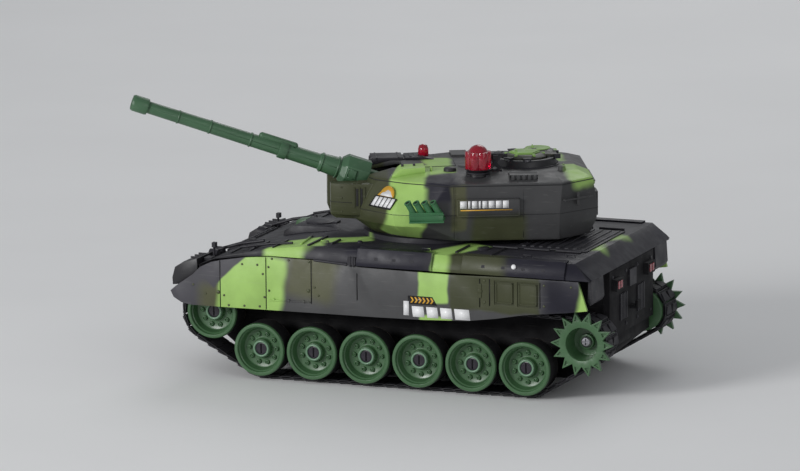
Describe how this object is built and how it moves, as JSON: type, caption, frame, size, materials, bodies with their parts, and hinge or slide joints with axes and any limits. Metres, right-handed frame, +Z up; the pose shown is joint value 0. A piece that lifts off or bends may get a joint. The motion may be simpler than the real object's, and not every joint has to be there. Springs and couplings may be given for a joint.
{
  "type": "radio controlled battle tank",
  "caption": "Camouflaged remote control battle tank with turning turret, raising gun, linked road wheels and sprockets, red hit lamp and flat side skirts.",
  "frame": {"origin": "on the ground, midway between the two tracks and midway between the first and last road wheels", "axes": "+X forward towards the nose, +Y to the tank's left side, +Z up"},
  "size_m": [0.3035, 0.1651, 0.1716],
  "materials": {
    "camouflage_plastic": "satin moulded plastic with soft-edged sprayed camouflage",
    "green_plastic": "satin moulded plastic",
    "track_rubber": "matte soft vinyl",
    "black_plastic": "satin",
    "red_lens": "translucent tinted plastic",
    "clear_lens": "clear light emitter",
    "steel": "zinc plated",
    "natural_plastic": "unpainted nylon",
    "battery_wrap": "shrink film",
    "circuit_board": "solder mask",
    "speaker_black": "matte"
  },
  "bodies": {
    "hull": {"upper_hull": "camouflage_plastic", "lower_hull": "camouflage_plastic", "left_track": "track_rubber", "right_track": "track_rubber", "side_skirts": "camouflage_plastic", "mudguards": "camouflage_plastic", "gearboxes": "natural_plastic", "drive_motors": "steel", "hub_caps": "black_plastic", "axle_pins": "steel", "fender_bins": "camouflage_plastic", "hull_screws": "steel", "engine_grille": "camouflage_plastic", "driver_periscope": "green_plastic", "battery_pack": "battery_wrap", "battery_door": "black_plastic", "control_board": "circuit_board", "speaker": "speaker_black", "power_switch_case": "natural_plastic", "turret_motor": "steel"},
    "turret": {"turret_shell": "camouflage_plastic", "turret_base": "black_plastic", "turret_ring_gear": "natural_plastic", "smoke_launchers": "green_plastic", "alarm_lamp": "red_lens", "lamp_base": "black_plastic", "hatch_rings": "camouflage_plastic", "machine_gun_crutch": "black_plastic", "gunner_sight": "camouflage_plastic", "lamp_pod": "black_plastic", "roof_vent": "camouflage_plastic", "turret_board": "circuit_board", "elevation_motor": "steel", "turret_screws": "steel", "trunnion_pin": "steel"},
    "gun": {"gun_root": "green_plastic", "gun_barrel": "green_plastic", "muzzle": "green_plastic", "muzzle_lens": "clear_lens"},
    "commander_hatch": {"commander_hatch": "camouflage_plastic"},
    "power_switch": {"power_switch_knob": "black_plastic"},
    "turret_pinion": {"turret_pinion": "natural_plastic"},
    "left_sprocket": {"left_sprocket": "green_plastic", "left_sprocket_shaft": "steel"},
    "left_idler": {"left_idler": "green_plastic"},
    "left_road_wheel_1": {"left_road_wheel_1": "green_plastic"},
    "left_road_wheel_2": {"left_road_wheel_2": "green_plastic"},
    "left_road_wheel_3": {"left_road_wheel_3": "green_plastic"},
    "left_road_wheel_4": {"left_road_wheel_4": "green_plastic"},
    "left_road_wheel_5": {"left_road_wheel_5": "green_plastic"},
    "left_road_wheel_6": {"left_road_wheel_6": "green_plastic"},
    "right_sprocket": {"right_sprocket": "green_plastic", "right_sprocket_shaft": "steel"},
    "right_idler": {"right_idler": "green_plastic"},
    "right_road_wheel_1": {"right_road_wheel_1": "green_plastic"},
    "right_road_wheel_2": {"right_road_wheel_2": "green_plastic"},
    "right_road_wheel_3": {"right_road_wheel_3": "green_plastic"},
    "right_road_wheel_4": {"right_road_wheel_4": "green_plastic"},
    "right_road_wheel_5": {"right_road_wheel_5": "green_plastic"},
    "right_road_wheel_6": {"right_road_wheel_6": "green_plastic"}
  },
  "joints": [
    {"name": "turret_yaw", "type": "hinge", "parent": "hull", "child": "turret", "pos_m": [0, 0, 0.086], "axis": [0, 0, 1], "range_deg": [-186, 134]},
    {"name": "gun_elevation", "type": "hinge", "parent": "turret", "child": "gun", "pos_m": [0.0018, 0.00088, 0.1061], "axis": [0.4384, -0.8988, 0], "range_deg": [-15, 5.8]},
    {"name": "commander_hatch_hinge", "type": "hinge", "parent": "turret", "child": "commander_hatch", "pos_m": [-0.07004, -0.02748, 0.1315], "axis": [0.4384, -0.8988, 0], "range_deg": [0, 105]},
    {"name": "power_switch_slide", "type": "slide", "parent": "hull", "child": "power_switch", "axis": [1, 0, 0], "range_m": [0, 0.004]},
    {"name": "turret_pinion_spin", "type": "hinge", "parent": "hull", "child": "turret_pinion", "pos_m": [-0.03915, 0, 0.0768], "axis": [0, 0, 1], "continuous": true},
    {"name": "left_sprocket_spin", "type": "hinge", "parent": "hull", "child": "left_sprocket", "pos_m": [-0.12, 0.0615, 0.0357], "axis": [0, 1, 0], "continuous": true},
    {"name": "left_idler_spin", "type": "hinge", "parent": "hull", "child": "left_idler", "pos_m": [0.1188, 0.058, 0.0383], "axis": [0, 1, 0], "continuous": true},
    {"name": "left_road_wheel_1_spin", "type": "hinge", "parent": "hull", "child": "left_road_wheel_1", "pos_m": [0.085, 0.062, 0.019], "axis": [0, 1, 0], "continuous": true},
    {"name": "left_road_wheel_2_spin", "type": "hinge", "parent": "hull", "child": "left_road_wheel_2", "pos_m": [0.051, 0.062, 0.019], "axis": [0, 1, 0], "continuous": true},
    {"name": "left_road_wheel_3_spin", "type": "hinge", "parent": "hull", "child": "left_road_wheel_3", "pos_m": [0.017, 0.062, 0.019], "axis": [0, 1, 0], "continuous": true},
    {"name": "left_road_wheel_4_spin", "type": "hinge", "parent": "hull", "child": "left_road_wheel_4", "pos_m": [-0.017, 0.062, 0.019], "axis": [0, 1, 0], "continuous": true},
    {"name": "left_road_wheel_5_spin", "type": "hinge", "parent": "hull", "child": "left_road_wheel_5", "pos_m": [-0.051, 0.062, 0.019], "axis": [0, 1, 0], "continuous": true},
    {"name": "left_road_wheel_6_spin", "type": "hinge", "parent": "hull", "child": "left_road_wheel_6", "pos_m": [-0.085, 0.062, 0.019], "axis": [0, 1, 0], "continuous": true},
    {"name": "right_sprocket_spin", "type": "hinge", "parent": "hull", "child": "right_sprocket", "pos_m": [-0.12, -0.0615, 0.0357], "axis": [0, 1, 0], "continuous": true},
    {"name": "right_idler_spin", "type": "hinge", "parent": "hull", "child": "right_idler", "pos_m": [0.1188, -0.058, 0.0383], "axis": [0, 1, 0], "continuous": true},
    {"name": "right_road_wheel_1_spin", "type": "hinge", "parent": "hull", "child": "right_road_wheel_1", "pos_m": [0.085, -0.062, 0.019], "axis": [0, 1, 0], "continuous": true},
    {"name": "right_road_wheel_2_spin", "type": "hinge", "parent": "hull", "child": "right_road_wheel_2", "pos_m": [0.051, -0.062, 0.019], "axis": [0, 1, 0], "continuous": true},
    {"name": "right_road_wheel_3_spin", "type": "hinge", "parent": "hull", "child": "right_road_wheel_3", "pos_m": [0.017, -0.062, 0.019], "axis": [0, 1, 0], "continuous": true},
    {"name": "right_road_wheel_4_spin", "type": "hinge", "parent": "hull", "child": "right_road_wheel_4", "pos_m": [-0.017, -0.062, 0.019], "axis": [0, 1, 0], "continuous": true},
    {"name": "right_road_wheel_5_spin", "type": "hinge", "parent": "hull", "child": "right_road_wheel_5", "pos_m": [-0.051, -0.062, 0.019], "axis": [0, 1, 0], "continuous": true},
    {"name": "right_road_wheel_6_spin", "type": "hinge", "parent": "hull", "child": "right_road_wheel_6", "pos_m": [-0.085, -0.062, 0.019], "axis": [0, 1, 0], "continuous": true}
  ],
  "couplings": [
    {"joint": "turret_pinion_spin", "follows": "turret_yaw", "ratio": -6.8},
    {"joint": "left_idler_spin", "follows": "left_sprocket_spin", "ratio": 0.78313},
    {"joint": "left_road_wheel_1_spin", "follows": "left_sprocket_spin", "ratio": 0.7855},
    {"joint": "left_road_wheel_2_spin", "follows": "left_sprocket_spin", "ratio": 0.7855},
    {"joint": "left_road_wheel_3_spin", "follows": "left_sprocket_spin", "ratio": 0.7855},
    {"joint": "left_road_wheel_4_spin", "follows": "left_sprocket_spin", "ratio": 0.7855},
    {"joint": "left_road_wheel_5_spin", "follows": "left_sprocket_spin", "ratio": 0.7855},
    {"joint": "left_road_wheel_6_spin", "follows": "left_sprocket_spin", "ratio": 0.7855},
    {"joint": "right_idler_spin", "follows": "right_sprocket_spin", "ratio": 0.78313},
    {"joint": "right_road_wheel_1_spin", "follows": "right_sprocket_spin", "ratio": 0.7855},
    {"joint": "right_road_wheel_2_spin", "follows": "right_sprocket_spin", "ratio": 0.7855},
    {"joint": "right_road_wheel_3_spin", "follows": "right_sprocket_spin", "ratio": 0.7855},
    {"joint": "right_road_wheel_4_spin", "follows": "right_sprocket_spin", "ratio": 0.7855},
    {"joint": "right_road_wheel_5_spin", "follows": "right_sprocket_spin", "ratio": 0.7855},
    {"joint": "right_road_wheel_6_spin", "follows": "right_sprocket_spin", "ratio": 0.7855}
  ]
}
